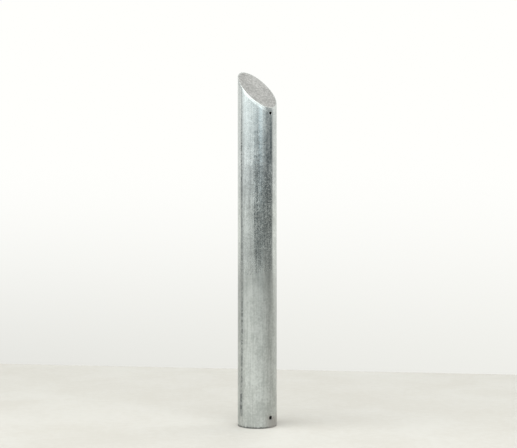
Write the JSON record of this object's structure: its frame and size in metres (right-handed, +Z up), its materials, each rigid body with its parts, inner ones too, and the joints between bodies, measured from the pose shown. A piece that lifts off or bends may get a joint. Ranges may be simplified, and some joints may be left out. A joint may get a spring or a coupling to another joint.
{
  "type": "steel safety bollard",
  "caption": "Round galvanised steel bollard post, set in the ground by its open foot, with a slanted top closed by a flush welded plate.",
  "frame": {"origin": "centre of the open foot, on the ground it stands on", "axes": "+Z up along the tube; the slanted top falls towards -Y, the side with the vent hole and the anchor rod's hole; +X to the right seen from -Y"},
  "size_m": [0.165, 0.165, 1.5],
  "materials": {
    "tube_zinc": "hot-dip galvanised, shiny to satin with soft streaks",
    "cap_zinc": "hot-dip galvanised, matt and mottled",
    "weld_zinc": "ground flush, then hot-dip galvanised, satin",
    "seam_zinc": "hot-dip galvanised, rough"
  },
  "bodies": {
    "root": {"post_tube": "tube_zinc", "cap_plate": "cap_zinc", "cap_weld": "weld_zinc", "seam_bead": "seam_zinc"}
  },
  "joints": []
}
